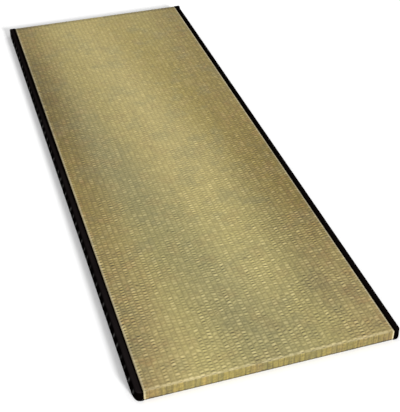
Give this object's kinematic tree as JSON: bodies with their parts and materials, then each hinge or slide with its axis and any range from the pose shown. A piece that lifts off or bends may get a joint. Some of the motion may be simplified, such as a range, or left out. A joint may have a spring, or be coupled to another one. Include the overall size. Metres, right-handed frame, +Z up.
{
  "type": "tatami mat",
  "caption": "Flat rectangular tatami mat: a firm board in ribbed woven rush, with a plain black cloth binding folded over each long side.",
  "frame": {"origin": "middle of the mat's footprint, on the surface it rests on", "axes": "+X across the width, +Y along the length, +Z up through the thickness; the weave's ribs run along Y"},
  "size_m": [0.71, 2, 0.032],
  "materials": {
    "woven_rush": "dried rush stems, woven tight, satin, ribs along the length",
    "binding_cloth": "fine plain-woven black cotton, matt"
  },
  "bodies": {
    "root": {"rush_mat": "woven_rush", "binding_left": "binding_cloth", "binding_right": "binding_cloth"}
  },
  "joints": []
}
